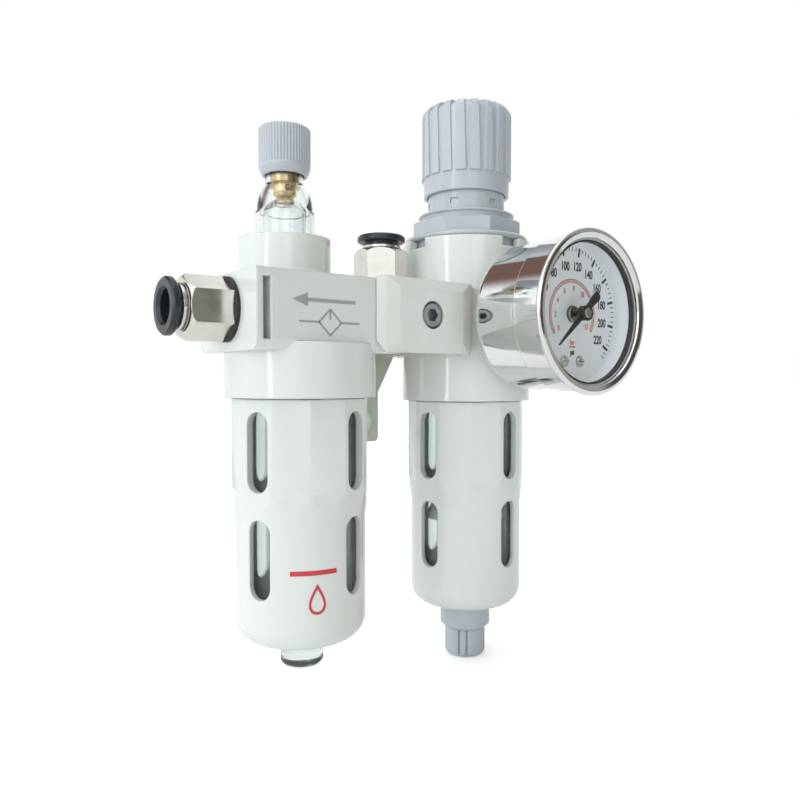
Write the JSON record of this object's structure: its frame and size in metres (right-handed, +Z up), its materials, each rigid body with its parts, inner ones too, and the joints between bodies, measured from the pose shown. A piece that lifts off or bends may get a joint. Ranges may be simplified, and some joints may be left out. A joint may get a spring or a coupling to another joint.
{
  "type": "filter regulator lubricator",
  "caption": "Compressed-air service unit: lubricator with oil bowl and sight dome beside a filter regulator with bowl, knob and gauge, clamped to a wall bracket.",
  "frame": {"origin": "centre of the wall bracket's slot, on the bracket's back face", "axes": "+Z up, +Y into the wall so the unit faces -Y, +X along the air line from the lubricator to the filter regulator"},
  "size_m": [0.1342, 0.0733, 0.1722],
  "materials": {
    "body_plastic": "moulded off-white, glossy",
    "guard_plastic": "moulded off-white, glossy",
    "knob_plastic": "moulded blue-grey, satin",
    "bonnet_plastic": "moulded grey, satin",
    "clamp_plastic": "moulded off-white, glossy",
    "spacer_plastic": "moulded off-white, glossy",
    "bracket_metal": "painted grey, satin",
    "clear_bowl": "clear polycarbonate",
    "clear_dome": "clear polycarbonate",
    "gauge_lens": "clear, flat",
    "nickel": "nickel plated, bright",
    "gauge_chrome": "chromed, polished",
    "collar_plastic": "moulded near black",
    "seal_rubber": "black nitrile",
    "brass": "turned",
    "spring_steel": "drawn wire",
    "screw_steel": "blackened, socket head",
    "dial_white": "printed face, matt",
    "pointer_black": "painted black",
    "inner_plastic": "moulded white, internal",
    "filter_media": "sintered, porous",
    "plate_metal": "turned"
  },
  "bodies": {
    "unit": {"air_deflector": "inner_plastic", "bonnet": "bonnet_plastic", "bourdon_tube": "brass", "bracket_screw": "screw_steel", "clamp_screw": "screw_steel", "diaphragm": "seal_rubber", "dome_seal": "seal_rubber", "drip_guide": "clear_dome", "filter_baffle": "inner_plastic", "filter_element": "filter_media", "front_clamp": "clamp_plastic", "gauge_bezel": "gauge_chrome", "gauge_case": "gauge_chrome", "gauge_dial": "dial_white", "gauge_lens": "gauge_lens", "gauge_movement": "brass", "gauge_socket": "brass", "inlet_face_seal": "seal_rubber", "inlet_fitting": "nickel", "line_spacer": "spacer_plastic", "lubricator_body": "body_plastic", "metering_body": "brass", "outlet_face_seal": "seal_rubber", "outlet_fitting": "nickel", "panel_nut": "knob_plastic", "range_spring": "spring_steel", "rear_port_plug": "nickel", "regulator_body": "body_plastic", "sight_dome": "clear_dome", "siphon_tube": "inner_plastic", "spacer_seal_left": "seal_rubber", "spacer_seal_right": "seal_rubber", "takeoff_face_seal": "seal_rubber", "takeoff_fitting": "nickel", "valve_guide": "inner_plastic", "valve_spring": "spring_steel", "venturi_insert": "inner_plastic", "wall_bracket": "bracket_metal"},
    "adjusting_screw": {"adjusting_screw": "brass"},
    "pressure_knob": {"pressure_knob": "knob_plastic"},
    "spring_seat": {"spring_seat": "plate_metal"},
    "valve": {"valve_poppet": "brass", "diaphragm_plate": "plate_metal"},
    "drop_rate_knob": {"drop_rate_knob": "knob_plastic"},
    "metering_needle": {"metering_needle": "brass"},
    "lubricator_bowl_unit": {"lubricator_guard": "guard_plastic", "lubricator_bowl": "clear_bowl", "lubricator_bowl_seal": "seal_rubber"},
    "plug_seal": {"lubricator_plug_seal": "seal_rubber"},
    "drain_plug": {"lubricator_drain_plug": "clear_bowl"},
    "filter_bowl_unit": {"filter_guard": "guard_plastic", "filter_bowl": "clear_bowl", "filter_bowl_seal": "seal_rubber", "drain_body": "knob_plastic"},
    "drain_knob": {"drain_knob": "knob_plastic"},
    "drain_valve": {"drain_valve": "inner_plastic"},
    "outlet_collar": {"outlet_release_collar": "collar_plastic"},
    "takeoff_collar": {"takeoff_release_collar": "collar_plastic"},
    "inlet_collar": {"inlet_release_collar": "collar_plastic"},
    "gauge_pointer": {"gauge_pointer": "pointer_black"}
  },
  "joints": [
    {"name": "pressure_adjust", "type": "hinge", "parent": "unit", "child": "adjusting_screw", "pos_m": [0.03, -0.023, 0.075], "axis": [0, 0, 1], "range_deg": [-1440, 0]},
    {"name": "knob_lock", "type": "slide", "parent": "adjusting_screw", "child": "pressure_knob", "axis": [0, 0, 1], "range_m": [-0.0033, 0]},
    {"name": "spring_seat_travel", "type": "slide", "parent": "unit", "child": "spring_seat", "axis": [0, 0, 1], "range_m": [-0.004, 0], "deforming": ["range_spring"]},
    {"name": "valve_lift", "type": "slide", "parent": "unit", "child": "valve", "axis": [0, 0, 1], "range_m": [-0.0012, 0], "stiffness_N_per_m": 800, "springref_m": 0.003, "deforming": ["valve_spring", "diaphragm"]},
    {"name": "drop_rate_turn", "type": "hinge", "parent": "unit", "child": "drop_rate_knob", "pos_m": [-0.0306, -0.0157, 0.076], "axis": [0, 0, 1], "range_deg": [-270, 270]},
    {"name": "needle_travel", "type": "slide", "parent": "unit", "child": "metering_needle", "axis": [0, 0, 1], "range_m": [-0.000376, 0.000376]},
    {"name": "lubricator_bowl_turn", "type": "hinge", "parent": "unit", "child": "lubricator_bowl_unit", "pos_m": [-0.03, -0.023, 0.01], "axis": [0, 0, 1], "range_deg": [0, 45]},
    {"name": "plug_seal_travel", "type": "slide", "parent": "lubricator_bowl_unit", "child": "plug_seal", "axis": [0, 0, 1], "range_m": [-0.002, 0]},
    {"name": "drain_plug_turn", "type": "hinge", "parent": "plug_seal", "child": "drain_plug", "pos_m": [-0.03, -0.023, -0.062], "axis": [0, 0, 1], "range_deg": [-720.2, 0]},
    {"name": "filter_bowl_turn", "type": "hinge", "parent": "unit", "child": "filter_bowl_unit", "pos_m": [0.03, -0.023, 0.008], "axis": [0, 0, 1], "range_deg": [0, 45]},
    {"name": "drain_turn", "type": "hinge", "parent": "filter_bowl_unit", "child": "drain_knob", "pos_m": [0.03, -0.023, -0.07], "axis": [0, 0, 1], "range_deg": [0, 90]},
    {"name": "drain_valve_lift", "type": "slide", "parent": "filter_bowl_unit", "child": "drain_valve", "axis": [0, 0, 1], "range_m": [0, 0.001]},
    {"name": "outlet_release", "type": "slide", "parent": "unit", "child": "outlet_collar", "axis": [1, 0, 0], "range_m": [0, 0.0009], "stiffness_N_per_m": 200, "springref_m": -0.002},
    {"name": "takeoff_release", "type": "slide", "parent": "unit", "child": "takeoff_collar", "axis": [0, 0, -1], "range_m": [0, 0.0009], "stiffness_N_per_m": 200, "springref_m": -0.002},
    {"name": "inlet_release", "type": "slide", "parent": "unit", "child": "inlet_collar", "axis": [-1, 0, 0], "range_m": [0, 0.0009], "stiffness_N_per_m": 200, "springref_m": -0.002},
    {"name": "gauge_pointer_turn", "type": "hinge", "parent": "unit", "child": "gauge_pointer", "pos_m": [0.03, -0.068, 0.03175], "axis": [0, 1, 0], "range_deg": [0, 270], "stiffness_Nm_per_rad": 0.0005, "springref_deg": -17.19}
  ],
  "couplings": [
    {"joint": "spring_seat_travel", "follows": "pressure_adjust", "m_per_rad": 0.00015915},
    {"joint": "needle_travel", "follows": "drop_rate_turn", "m_per_rad": 0.000079577},
    {"joint": "drain_plug_turn", "follows": "plug_seal_travel", "rad_per_m": 6283.2},
    {"joint": "drain_valve_lift", "follows": "drain_turn", "m_per_rad": 0.00063662}
  ]
}
